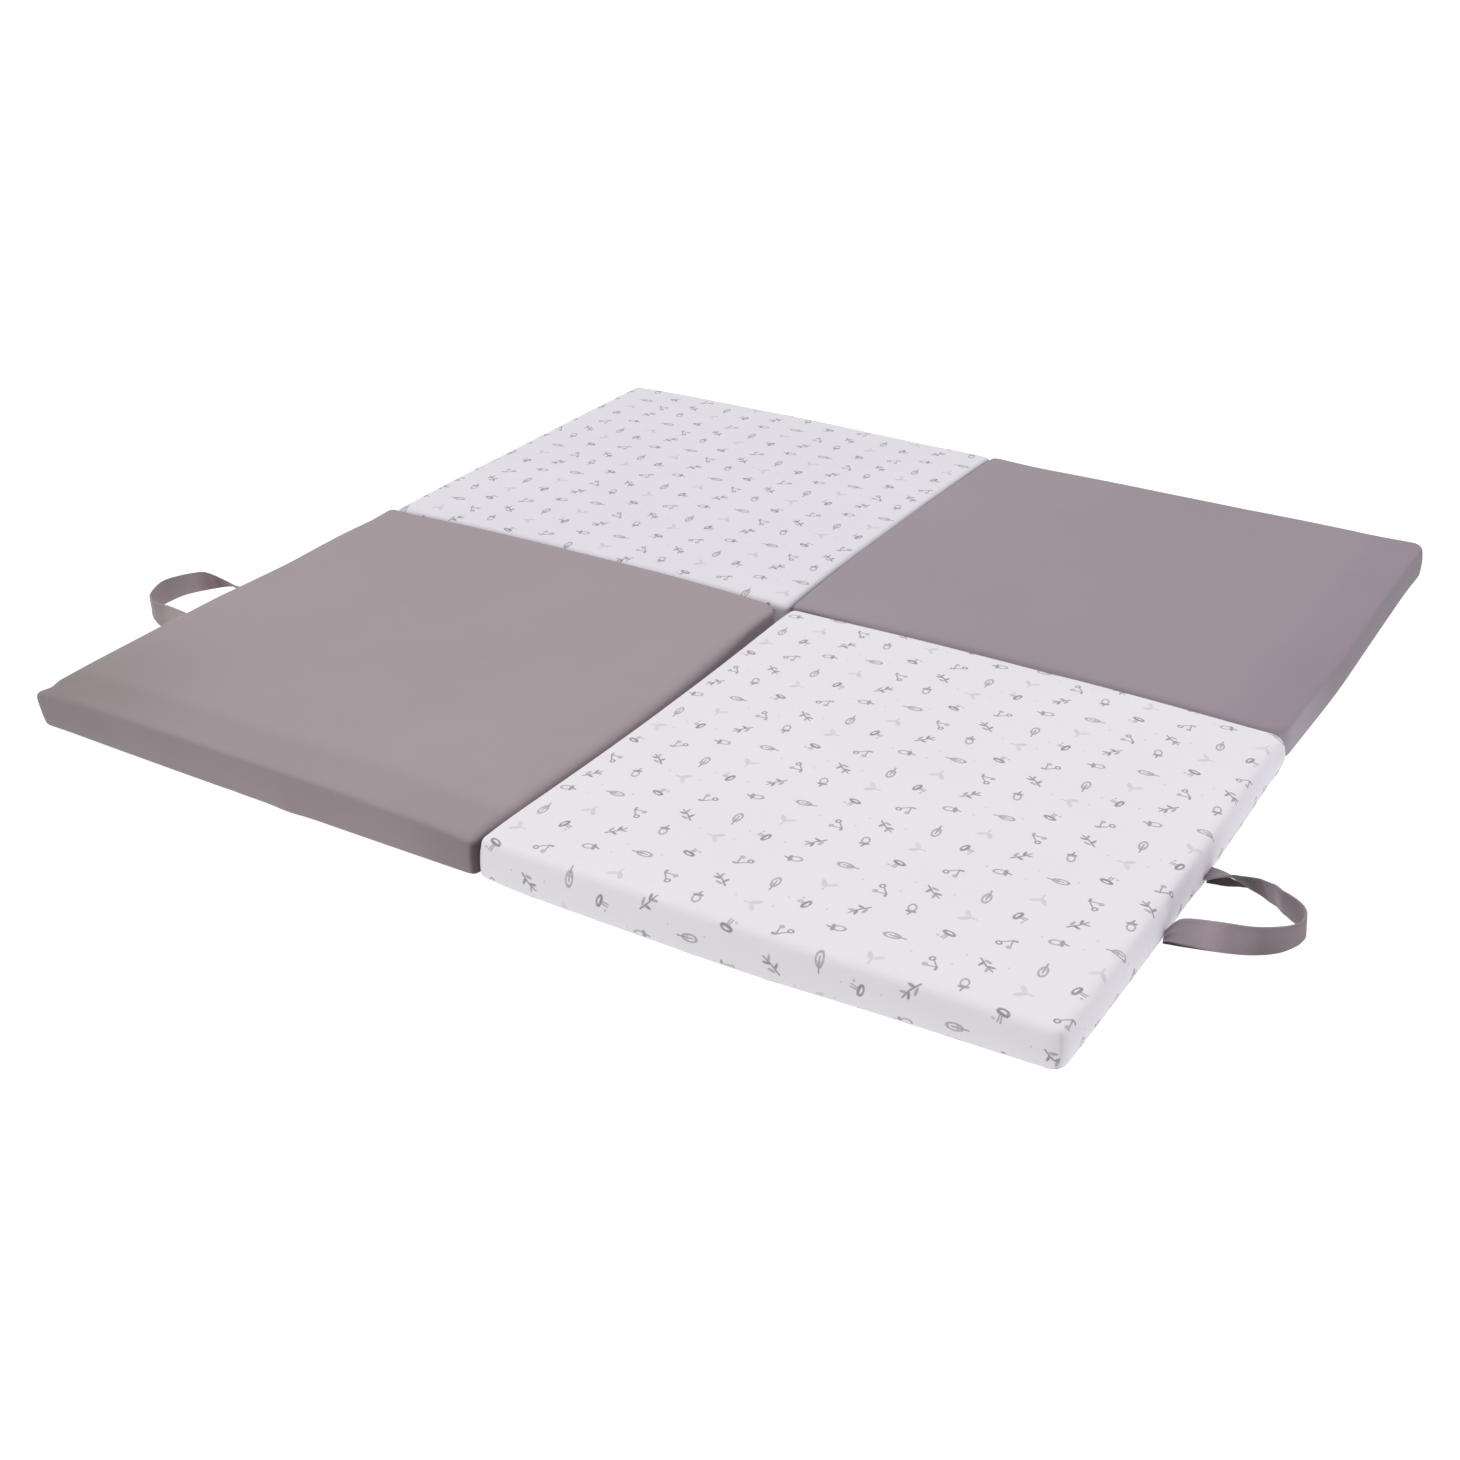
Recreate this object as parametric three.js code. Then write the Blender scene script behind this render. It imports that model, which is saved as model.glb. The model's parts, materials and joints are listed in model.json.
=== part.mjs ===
// Folding play mat for a baby: four square padded sections in two rows, with a cloth carry
// strap sewn to each of the two outer sides of the front row.
// Millimetres, +Z up. X runs along the front edge, Y runs from the front edge to the back one,
// and the origin is on the floor under the middle of the whole mat.

import * as THREE from 'three';

// Driving sizes of the mat.
const section = 603;          // side of one padded section, filled
const rowSeam = 7;            // the seam between the rows lies this far behind the middle
const slit = 3;               // width of the open cut between the two front sections
const seamGap = 0.3;          // two sewn edges meet this close
const bottomRound = 3;        // rounding of the edge that lies on the floor
const sideBelly = 1.2;        // how far a side stands proud halfway up
const bellyHeight = 0.42;     // height of that fullest line, as a share of the edge height
const cornerDrop = 3;         // the higher this is, the closer to its corners a section stays full

// Mesh steps.
const cornerSteps = 4;
const sideSteps = 10;
const shoulderSteps = 4;
const topRings = [0.93, 0.82, 0.66, 0.46, 0.24];
const sharpest = 2;           // smallest corner radius that an inner ring comes down to

// The four sections. Sides go round as front, right, back, left, and corners as front left,
// front right, back right, back left.
//   corner    height of the cover at each corner
//   full      how far the middle of a side rises over its corners
//   crown     how far the middle of the section rises over its sides
//   radius    corner radius seen from above
//   shoulder  rounding from the top face into each side
//   bow       how far the middle of each side stands out past a straight line
//   pull      how far each corner is drawn out past the square, along X and along Y
const sections = [
  {
    name: 'pad_front_left', cover: 'taupe',
    left: -section, right: -slit / 2, front: -section, back: rowSeam - seamGap / 2,
    corner: [41, 41, 46, 44], full: 8, crown: 2,
    radius: [4, 15, 26, 10], shoulder: [9, 12, 10, 11],
    bow: [2.5, 9, 0, -6], pull: [[-5, -3], [0, -7], [-3, -2], [0, 0]],
  },
  {
    name: 'pad_front_right', cover: 'print',
    left: slit / 2, right: section, front: -section, back: rowSeam - seamGap / 2,
    corner: [43, 40, 42, 46], full: 5, crown: 2,
    radius: [9, 14, 16, 10], shoulder: [11, 9, 11, 6],
    bow: [8, 4.5, 0, -12], pull: [[-3, -2], [1.5, 0], [1.5, -1], [3, 0]],
  },
  {
    name: 'pad_back_right', cover: 'taupe',
    left: seamGap / 2, right: section, front: rowSeam + seamGap / 2, back: section,
    corner: [46, 38, 42, 41], full: 5.5, crown: 2,
    radius: [10, 30, 15, 6], shoulder: [9, 8, 10, 8],
    bow: [0, 4, -5, 1], pull: [[0, 0], [0, 0], [1, 2], [0, 3]],
  },
  {
    name: 'pad_back_left', cover: 'print',
    left: -section, right: -seamGap / 2, front: rowSeam + seamGap / 2, back: section,
    corner: [42, 42, 40, 41], full: 5, crown: 2,
    radius: [10, 10, 6, 10], shoulder: [10, 8, 8, 10],
    bow: [0, -1.5, -1, -7], pull: [[0, 0], [0, 0], [0, 1], [-1, 0]],
  },
];

// The carry straps stand on their lower edge and reach out from the sides in a flat loop.
const strapThick = 2.4;
const strapLift = 0.3;        // clear of the floor
const strapSeat = 0.3;        // clear of the side that the strap is sewn to
const strapSteps = 36;
const strapEdge = 0.8;        // bevel along both edges

// Stations of each strap, from its front end round to its back end.
//   out    distance from the outer side of the section
//   y      place along the side
//   lean   degrees that the upper edge leans over the hand gap
//   width  width of the strap, narrower where it is gathered into the seam
const straps = [
  {
    name: 'strap_left', carrier: 'pad_front_left', side: -1,
    stations: [
      { out: 0, y: -366, lean: 0, width: 27 },
      { out: 24, y: -362, lean: 0, width: 31 },
      { out: 57, y: -356, lean: 0, width: 32 },
      { out: 84, y: -350, lean: -6, width: 32 },
      { out: 102, y: -336, lean: -10, width: 32 },
      { out: 110, y: -315, lean: -6, width: 32 },
      { out: 110, y: -290, lean: 4, width: 32 },
      { out: 103, y: -266, lean: 12, width: 32 },
      { out: 88, y: -248, lean: 20, width: 32 },
      { out: 68, y: -238, lean: 34, width: 32 },
      { out: 46, y: -232, lean: 52, width: 31 },
      { out: 22, y: -229, lean: 59, width: 29 },
      { out: 0, y: -227, lean: 60, width: 26 },
    ],
  },
  {
    name: 'strap_right', carrier: 'pad_front_right', side: 1,
    stations: [
      { out: 0, y: -374, lean: 0, width: 20 },
      { out: 14, y: -371, lean: 0, width: 27 },
      { out: 45, y: -362, lean: 0, width: 32 },
      { out: 74, y: -351, lean: 0, width: 32 },
      { out: 95, y: -335, lean: 0, width: 31 },
      { out: 107, y: -316, lean: 0, width: 30 },
      { out: 108, y: -297, lean: 4, width: 30 },
      { out: 101, y: -282, lean: 12, width: 31 },
      { out: 86, y: -267, lean: 20, width: 32 },
      { out: 63, y: -256, lean: 30, width: 32 },
      { out: 42, y: -249, lean: 48, width: 32 },
      { out: 20, y: -243, lean: 70, width: 31 },
      { out: 0, y: -239, lean: 82, width: 29 },
    ],
  },
];

// Cloth colours.
const clothColours = { taupe: 0xa3989c, print: 0xe6e3ea, strap: 0x8b8084 };

function clothMaterial(cover) {
  return new THREE.MeshStandardMaterial({
    name: cover,
    color: clothColours[cover],
    roughness: 0.85,
    metalness: 0,
  });
}

// Place inside a section, from -1 to 1 each way.
function placeIn(pad, x, y) {
  const halfX = (pad.right - pad.left) / 2;
  const halfY = (pad.back - pad.front) / 2;
  const u = (x - pad.left - halfX) / halfX;
  const v = (y - pad.front - halfY) / halfY;
  return { u: THREE.MathUtils.clamp(u, -1, 1), v: THREE.MathUtils.clamp(v, -1, 1) };
}

// Height of the cover: the four corners blended, fuller along the sides, fullest in the middle.
function coverHeight(pad, x, y) {
  const { u, v } = placeIn(pad, x, y);
  const [frontLeft, frontRight, backRight, backLeft] = pad.corner;
  const front = THREE.MathUtils.lerp(frontLeft, frontRight, (u + 1) / 2);
  const back = THREE.MathUtils.lerp(backLeft, backRight, (u + 1) / 2);
  const corners = THREE.MathUtils.lerp(front, back, (v + 1) / 2);
  const full = pad.full * (1 - Math.abs(u * v) ** cornerDrop);
  return corners + full + pad.crown * (1 - u * u) * (1 - v * v);
}

// Where a point of the square section ends up once its corners are pulled and its sides bow.
function drawn(pad, x, y) {
  const { u, v } = placeIn(pad, x, y);
  const [front, right, back, left] = pad.bow;
  const bowX = (u > 0 ? right : -left) * Math.abs(u) ** 3 * (1 - v * v);
  const bowY = (v > 0 ? back : -front) * Math.abs(v) ** 3 * (1 - u * u);
  const [frontLeft, frontRight, backRight, backLeft] = pad.pull;
  const pulled = [0, 1].map((axis) => {
    const alongFront = THREE.MathUtils.lerp(frontLeft[axis], frontRight[axis], (u + 1) / 2);
    const alongBack = THREE.MathUtils.lerp(backLeft[axis], backRight[axis], (u + 1) / 2);
    return THREE.MathUtils.lerp(alongFront, alongBack, (v + 1) / 2);
  });
  return { x: x + bowX + pulled[0], y: y + bowY + pulled[1] };
}

// One ring of a section: a rounded rectangle whose sides have moved in by their own insets.
// Each point also says how its place is shared between the two sides that meet there.
function ring(pad, insets) {
  const edges = {
    left: pad.left + insets[3], right: pad.right - insets[1],
    front: pad.front + insets[0], back: pad.back - insets[2],
  };
  const points = [];
  for (let corner = 0; corner < 4; corner += 1) {
    const before = (corner + 3) % 4;
    const radius = Math.max(pad.radius[corner] - (insets[before] + insets[corner]) / 2, sharpest);
    const onRight = corner === 1 || corner === 2;
    const onBack = corner === 2 || corner === 3;
    const middleX = onRight ? edges.right - radius : edges.left + radius;
    const middleY = onBack ? edges.back - radius : edges.front + radius;
    for (let step = 0; step <= cornerSteps; step += 1) {
      const share = step / cornerSteps;
      const angle = Math.PI + (corner + share) * Math.PI / 2;
      points.push({
        x: middleX + radius * Math.cos(angle),
        y: middleY + radius * Math.sin(angle),
        sides: [before, corner],
        share,
      });
    }
  }
  return points;
}

// The same ring with points spread along its straight sides.
function fullRing(pad, insets) {
  const bends = ring(pad, insets);
  const points = [];
  bends.forEach((point, index) => {
    points.push(point);
    const lastOfCorner = index % (cornerSteps + 1) === cornerSteps;
    if (!lastOfCorner) return;
    const next = bends[(index + 1) % bends.length];
    for (let step = 1; step < sideSteps; step += 1) {
      const along = step / sideSteps;
      points.push({
        x: THREE.MathUtils.lerp(point.x, next.x, along),
        y: THREE.MathUtils.lerp(point.y, next.y, along),
        sides: point.sides,
        share: 1,
      });
    }
  });
  return points;
}

// Value of a per-side list at a point of a ring.
function sideValue(list, point) {
  return THREE.MathUtils.lerp(list[point.sides[0]], list[point.sides[1]], point.share);
}

// Rings of one section from the floor up over the shoulder to the middle of the top.
function sectionRings(pad) {
  const every = (value) => [value, value, value, value];
  const rings = [];
  const addRing = (insets, heightOf) => {
    rings.push(fullRing(pad, insets).map((point) => {
      const place = drawn(pad, point.x, point.y);
      return [place.x, place.y, heightOf(point)];
    }));
  };

  addRing(every(bottomRound + sideBelly), () => 0);
  addRing(every(bottomRound * 0.3 + sideBelly), () => bottomRound * 0.3);
  addRing(every(sideBelly * 0.6), () => bottomRound);
  addRing(every(0), (point) => bellyHeight * coverHeight(pad, point.x, point.y));
  for (let step = 0; step <= shoulderSteps; step += 1) {
    const angle = (step / shoulderSteps) * Math.PI / 2;
    const insets = pad.shoulder.map((radius) => sideBelly + radius * (1 - Math.cos(angle)));
    addRing(insets, (point) => {
      const radius = sideValue(pad.shoulder, point);
      return coverHeight(pad, point.x, point.y) - radius * (1 - Math.sin(angle));
    });
  }

  const middle = { x: (pad.left + pad.right) / 2, y: (pad.front + pad.back) / 2 };
  const rim = fullRing(pad, pad.shoulder.map((radius) => sideBelly + radius));
  for (const scale of topRings) {
    rings.push(rim.map((point) => {
      const x = THREE.MathUtils.lerp(middle.x, point.x, scale);
      const y = THREE.MathUtils.lerp(middle.y, point.y, scale);
      const place = drawn(pad, x, y);
      return [place.x, place.y, coverHeight(pad, x, y)];
    }));
  }
  return { rings, middle };
}

// Closed surface over a stack of rings, with a point to close each end.
function closedLoft(rings, bottomPoint, topPoint) {
  const count = rings[0].length;
  const vertices = [...rings.flat(), bottomPoint, topPoint].flat();
  const bottomIndex = rings.length * count;
  const topIndex = bottomIndex + 1;
  const topStart = (rings.length - 1) * count;
  const faces = [];
  for (let i = 0; i < count; i += 1) {
    const j = (i + 1) % count;
    faces.push(bottomIndex, j, i);
    faces.push(topIndex, topStart + i, topStart + j);
    for (let level = 0; level < rings.length - 1; level += 1) {
      const low = level * count;
      const high = low + count;
      faces.push(low + i, low + j, high + j);
      faces.push(low + i, high + j, high + i);
    }
  }
  const geometry = new THREE.BufferGeometry();
  geometry.setAttribute('position', new THREE.Float32BufferAttribute(vertices, 3));
  geometry.setIndex(faces);
  geometry.computeVertexNormals();
  return geometry;
}

function sectionMesh(pad) {
  const { rings, middle } = sectionRings(pad);
  const top = [middle.x, middle.y, coverHeight(pad, middle.x, middle.y)];
  const mesh = new THREE.Mesh(
    closedLoft(rings, [middle.x, middle.y, 0], top),
    clothMaterial(pad.cover),
  );
  mesh.name = pad.name;
  return mesh;
}

// Where the outer side of a section stands at a place along it.
function outerSide(pad, side, y) {
  const straight = side > 0 ? pad.right : pad.left;
  return drawn(pad, straight, y).x;
}

// Smooth value of one column of a strap's stations, from 0 at its front end to 1 at its back.
function stationCurve(strap, pad) {
  const places = strap.stations.map(({ out, y }) => (
    new THREE.Vector3(outerSide(pad, strap.side, y) + strap.side * (out + strapSeat), y, 0)
  ));
  const shapes = strap.stations.map(({ lean, width }) => new THREE.Vector3(lean, width, 0));
  return {
    route: new THREE.CatmullRomCurve3(places, false, 'centripetal'),
    shape: new THREE.CatmullRomCurve3(shapes, false, 'catmullrom', 0.5),
  };
}

// Outline of the strap's section: across its thickness, then along its width.
function strapOutline(width) {
  const thick = strapThick / 2;
  const wide = width / 2;
  return [
    [thick, -wide + strapEdge], [thick, wide - strapEdge],
    [thick - strapEdge, wide], [-thick + strapEdge, wide],
    [-thick, wide - strapEdge], [-thick, -wide + strapEdge],
    [-thick + strapEdge, -wide], [thick - strapEdge, -wide],
  ];
}

function strapMesh(strap) {
  const pad = sections.find((one) => one.name === strap.carrier);
  const { route, shape } = stationCurve(strap, pad);
  const up = new THREE.Vector3(0, 0, 1);
  const rings = [];
  for (let step = 0; step <= strapSteps; step += 1) {
    const along = step / strapSteps;
    const place = route.getPoint(along);
    const atEnd = step === 0 || step === strapSteps;
    const ahead = atEnd
      ? new THREE.Vector3(step === 0 ? strap.side : -strap.side, 0, 0)
      : route.getTangent(along).setZ(0).normalize();
    const { x: lean, y: width } = shape.getPoint(along);
    const inward = new THREE.Vector3().crossVectors(up, ahead).multiplyScalar(strap.side);
    const tilt = THREE.MathUtils.degToRad(lean);
    const across = up.clone().multiplyScalar(Math.cos(tilt)).addScaledVector(inward, Math.sin(tilt));
    const outward = new THREE.Vector3().crossVectors(across, ahead);
    const outline = strapOutline(width).map(([thick, wide]) => (
      outward.clone().multiplyScalar(thick).addScaledVector(across, wide)
    ));
    const lowest = Math.min(...outline.map((point) => point.z));
    place.z = strapLift - lowest;
    rings.push(outline.map((point) => point.add(place).toArray()));
  }
  const middleOf = (points) => [0, 1, 2].map((axis) => (
    points.reduce((sum, point) => sum + point[axis], 0) / points.length
  ));
  const mesh = new THREE.Mesh(
    closedLoft(rings, middleOf(rings[0]), middleOf(rings[strapSteps])),
    clothMaterial('strap'),
  );
  mesh.name = strap.name;
  return mesh;
}

const mat = new THREE.Group();
mat.name = 'play_mat';
for (const pad of sections) {
  mat.add(sectionMesh(pad));
}
for (const strap of straps) {
  mat.add(strapMesh(strap));
}

export default mat;
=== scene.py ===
import json
import math
import bmesh
import bpy
from mathutils import Matrix, Vector, noise

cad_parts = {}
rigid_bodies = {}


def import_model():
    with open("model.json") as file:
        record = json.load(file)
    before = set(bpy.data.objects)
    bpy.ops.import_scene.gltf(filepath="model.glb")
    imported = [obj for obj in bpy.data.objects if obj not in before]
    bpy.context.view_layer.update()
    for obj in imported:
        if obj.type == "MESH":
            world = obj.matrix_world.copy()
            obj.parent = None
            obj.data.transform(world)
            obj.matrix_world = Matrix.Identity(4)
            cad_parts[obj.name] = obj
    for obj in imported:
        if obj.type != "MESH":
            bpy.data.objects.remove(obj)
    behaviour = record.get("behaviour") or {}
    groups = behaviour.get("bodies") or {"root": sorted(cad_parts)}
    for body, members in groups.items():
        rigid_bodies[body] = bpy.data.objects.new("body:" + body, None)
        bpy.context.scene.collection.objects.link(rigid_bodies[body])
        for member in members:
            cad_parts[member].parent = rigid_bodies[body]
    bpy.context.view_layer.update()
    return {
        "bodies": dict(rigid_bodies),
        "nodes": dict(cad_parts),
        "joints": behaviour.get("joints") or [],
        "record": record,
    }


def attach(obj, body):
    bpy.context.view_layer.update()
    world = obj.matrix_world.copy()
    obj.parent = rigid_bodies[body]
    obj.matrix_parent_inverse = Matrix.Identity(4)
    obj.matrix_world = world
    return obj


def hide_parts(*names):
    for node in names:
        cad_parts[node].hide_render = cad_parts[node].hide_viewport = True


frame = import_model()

mm = 0.001
scene = bpy.context.scene

# the camera and the lights

cameraView = {
    "azimuth": 30.56, "elevation": 28.45, "roll": 0.25,  # degrees
    "target": (0.056, -0.223, 0.0), "distance": 2.217,
    "lens": 49.58, "sensor": 36.0,
}


def addCamera():
    azimuth = math.radians(cameraView["azimuth"])
    elevation = math.radians(cameraView["elevation"])
    roll = math.radians(cameraView["roll"])
    level = Vector((-math.sin(azimuth), math.cos(azimuth), 0))
    ahead = level * math.cos(elevation) - Vector((0, 0, 1)) * math.sin(elevation)
    right = ahead.cross(Vector((0, 0, 1))).normalized()
    up = right.cross(ahead)
    right, up = (
        right * math.cos(roll) + up * math.sin(roll),
        up * math.cos(roll) - right * math.sin(roll),
    )
    data = bpy.data.cameras.new("camera")
    data.lens = cameraView["lens"]
    data.sensor_width = cameraView["sensor"]
    data.clip_end = 100
    camera = bpy.data.objects.new("camera", data)
    place = Vector(cameraView["target"]) - ahead * cameraView["distance"]
    turned = Matrix((right, up, -ahead)).transposed().to_4x4()
    camera.matrix_world = Matrix.Translation(place) @ turned
    scene.collection.objects.link(camera)
    scene.camera = camera


def setInputs(node, values):
    for label, value in values.items():
        node.inputs[label].default_value = value


studio = {
    "sky": (1.0, 0.985, 1.0), "skyStrength": 0.27,
    "floorColour": (0.2, 0.2, 0.202), "floorGlow": 0.96, "floorSize": 60.0,
    # the sun stands in for a ceiling of soft light, with its spread in degrees
    "ceiling": {
        "from": (-0.22, 0.12, 1.0), "strength": 2.44, "spread": 50.0, "colour": (1.0, 0.99, 0.985),
    },
    # each panel: place, what it looks at, size, watts, colour
    "panels": [
        ("fromRight", (3.4, 0.9, 0.75), (0.3, 0.1, 0.0), 1.6, 21.0, (0.92, 0.92, 1.0)),
        ("fromFront", (-1.2, -3.6, 0.8), (-0.3, -0.3, 0.0), 1.6, 25.0, (1.0, 0.965, 0.965)),
    ],
}


def aimed(thing, place, aim):
    thing.location = place
    thing.rotation_euler = (Vector(aim) - Vector(place)).to_track_quat("-Z", "Y").to_euler()
    scene.collection.objects.link(thing)


def addStudio():
    world = bpy.data.worlds.new("studio")
    world.use_nodes = True
    background = world.node_tree.nodes["Background"]
    setInputs(background, {"Color": (*studio["sky"], 1), "Strength": studio["skyStrength"]})
    scene.world = world
    ceiling = studio["ceiling"]
    light = bpy.data.lights.new("ceiling", "SUN")
    light.energy = ceiling["strength"]
    light.angle = math.radians(ceiling["spread"])
    light.color = ceiling["colour"]
    aimed(bpy.data.objects.new("ceiling", light), ceiling["from"], (0, 0, 0))
    for name, place, aim, size, watts, tint in studio["panels"]:
        light = bpy.data.lights.new(name, "AREA")
        light.shape = "DISK"
        light.size = size
        light.energy = watts
        light.color = tint
        aimed(bpy.data.objects.new(name, light), place, aim)

    bm = bmesh.new()
    bmesh.ops.create_grid(bm, x_segments=1, y_segments=1, size=studio["floorSize"] / 2)
    mesh = bpy.data.meshes.new("studioFloor")
    bm.to_mesh(mesh)
    bm.free()
    floor = bpy.data.objects.new("studioFloor", mesh)
    floor.location.z = -0.0002
    material = bpy.data.materials.new("studioFloor")
    material.use_nodes = True
    setInputs(material.node_tree.nodes["Principled BSDF"], {
        "Base Color": (*studio["floorColour"], 1), "Roughness": 0.95, "Specular IOR Level": 0.1,
        "Emission Color": (1, 1, 1, 1), "Emission Strength": studio["floorGlow"],
    })
    mesh.materials.append(material)
    scene.collection.objects.link(floor)
    scene.view_settings.view_transform = "Standard"


addCamera()
addStudio()
print("camera and studio are set")


# node helpers

class NodeSheet:
    # places nodes in a tree and links them by value
    def __init__(self, tree):
        self.tree = tree
        self.count = 0

    def node(self, kind, inputs=None, **settings):
        made = self.tree.nodes.new(kind)
        made.location = (220 * (self.count % 12), -260 * (self.count // 12))
        self.count += 1
        for key, value in settings.items():
            setattr(made, key, value)
        for key, value in (inputs or {}).items():
            self.feed(made.inputs[key], value)
        return made

    def feed(self, socket, value):
        if isinstance(value, bpy.types.NodeSocket):
            self.tree.links.new(value, socket)
        else:
            socket.default_value = value

    def math(self, operation, first, second=0.0, third=0.0):
        made = self.node("ShaderNodeMath", operation=operation)
        for socket, value in zip(made.inputs, (first, second, third)):
            self.feed(socket, value)
        return made.outputs[0]

    def vector(self, operation, first, second=(0, 0, 0), scale=None):
        made = self.node("ShaderNodeVectorMath", operation=operation)
        self.feed(made.inputs[0], first)
        self.feed(made.inputs[1], second)
        if scale is not None:
            self.feed(made.inputs["Scale"], scale)
        return made.outputs["Value" if operation in ("LENGTH", "DOT_PRODUCT") else "Vector"]

    def ramp(self, value, low, high, first=0.0, last=1.0, smooth=False):
        made = self.node("ShaderNodeMapRange", interpolation_type="SMOOTHSTEP" if smooth else "LINEAR")
        for socket, number in zip(made.inputs, (value, low, high, first, last)):
            self.feed(socket, number)
        return made.outputs["Result"]

    def mixColour(self, share, first, second, blend="MIX"):
        made = self.node("ShaderNodeMix", data_type="RGBA", blend_type=blend)
        self.feed(made.inputs["Factor"], share)
        self.feed(made.inputs["A"], first)
        self.feed(made.inputs["B"], second)
        return made.outputs["Result"]

    def noise(self, place, size, detail=2.0, rough=0.5):
        made = self.node("ShaderNodeTexNoise", {
            "Vector": place, "Scale": 1 / size, "Detail": detail, "Roughness": rough,
        })
        return made.outputs["Fac"]

    def group(self, tree, **inputs):
        made = self.node("ShaderNodeGroup", node_tree=tree)
        for key, value in inputs.items():
            self.feed(made.inputs[key], value)
        return made


def newGroup(name, inputs, outputs):
    tree = bpy.data.node_groups.new(name, "ShaderNodeTree")
    for label, kind, value in inputs:
        socket = tree.interface.new_socket(label, in_out="INPUT", socket_type=kind)
        if value is not None:
            socket.default_value = value
    for label, kind in outputs:
        tree.interface.new_socket(label, in_out="OUTPUT", socket_type=kind)
    sheet = NodeSheet(tree)
    given = sheet.node("NodeGroupInput")
    result = sheet.node("NodeGroupOutput")
    return sheet, given.outputs, result.inputs


number, vector, colour = "NodeSocketFloat", "NodeSocketVector", "NodeSocketColor"


# plain weave: threads over and under, seen as height and as a faint tone

def makeWeaveGroup():
    sheet, given, result = newGroup(
        "plainWeave",
        [("Place", vector, None), ("Thread", number, 0.5 * mm), ("Unevenness", number, 0.3)],
        [("Height", number), ("Tone", number)],
    )
    wander = sheet.noise(given["Place"], 9 * mm, 2)
    drift = sheet.math("MULTIPLY_ADD", wander, given["Unevenness"], -0.5)
    scaled = sheet.vector("SCALE", given["Place"], scale=sheet.math("DIVIDE", math.pi, given["Thread"]))
    split = sheet.node("ShaderNodeSeparateXYZ", {"Vector": scaled})
    across = sheet.math("ADD", split.outputs["X"], drift)
    along = sheet.math("ADD", split.outputs["Y"], drift)
    over = sheet.math("MULTIPLY", sheet.math("SINE", across), sheet.math("SINE", along))
    bulge = sheet.math("ABSOLUTE", over)
    thickThreads = sheet.node("ShaderNodeTexNoise", {
        "Vector": sheet.vector("MULTIPLY", given["Place"], (160, 1400, 160)),
        "Scale": 1.0, "Detail": 1.0,
    })
    slubs = sheet.math("MULTIPLY_ADD", thickThreads.outputs["Fac"], 0.6, -0.3)
    height = sheet.math("MULTIPLY_ADD", slubs, given["Unevenness"], sheet.math("SQRT", bulge))
    sheet.feed(result["Height"], height)
    sheet.feed(result["Tone"], sheet.math("MULTIPLY_ADD", height, 0.5, 0.5))
    return sheet.tree


# soft uneven tone of a dyed cloth, wide patches and a fine fleck

def makeToneGroup():
    sheet, given, result = newGroup(
        "dyedTone",
        [("Place", vector, None), ("Colour", colour, (0.5, 0.5, 0.5, 1)),
         ("Shade", colour, (0.4, 0.4, 0.4, 1)), ("Amount", number, 0.2), ("Fleck", number, 0.05)],
        [("Colour", colour)],
    )
    wide = sheet.ramp(sheet.noise(given["Place"], 190 * mm, 3, 0.55), 0.3, 0.7, smooth=True)
    fine = sheet.ramp(sheet.noise(given["Place"], 2.2 * mm, 2, 0.6), 0.25, 0.75)
    share = sheet.math("MULTIPLY", wide, given["Amount"])
    flecked = sheet.math("MULTIPLY_ADD", fine, given["Fleck"], share)
    sheet.feed(result["Colour"], sheet.mixColour(flecked, given["Colour"], given["Shade"]))
    return sheet.tree


weaveGroup = makeWeaveGroup()
toneGroup = makeToneGroup()


# the print: strokes and ovals of ink, put together as small plant motifs (sizes in millimetres)

printCloth = {
    "cellWide": 44.0, "cellHigh": 39.0, "kinds": 6, "enlarged": 1.2,
    "inkDark": (0.17, 0.17, 0.182), "inkSoft": (0.4, 0.395, 0.415),
    "edge": 0.55,                # softness of an inked edge
    "tilt": 0.16, "slide": 3.4,  # how far a motif is turned and moved in its cell
    "dot": 0.8, "dotInk": 0.4,   # radius and ink of the tiny dots between the motifs
}


def makeStrokeGroup():
    sheet, given, result = newGroup(
        "inkStroke",
        [("Place", vector, None), ("From", vector, (0, 0, 0)), ("To", vector, (1, 0, 0)),
         ("Start", number, 1.0), ("End", number, 1.0), ("Edge", number, printCloth["edge"])],
        [("Ink", number)],
    )
    reach = sheet.vector("SUBTRACT", given["Place"], given["From"])
    line = sheet.vector("SUBTRACT", given["To"], given["From"])
    along = sheet.math("DIVIDE", sheet.vector("DOT_PRODUCT", reach, line),
                       sheet.vector("DOT_PRODUCT", line, line))
    held = sheet.node("ShaderNodeClamp", {"Value": along}).outputs["Result"]
    away = sheet.vector("LENGTH", sheet.vector("SUBTRACT", reach, sheet.vector("SCALE", line, scale=held)))
    half = sheet.math("MULTIPLY_ADD", sheet.math("SUBTRACT", given["End"], given["Start"]),
                      held, given["Start"])
    outside = sheet.math("SUBTRACT", away, half)
    sheet.feed(result["Ink"], sheet.ramp(outside, given["Edge"], 0.0))
    return sheet.tree


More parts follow.
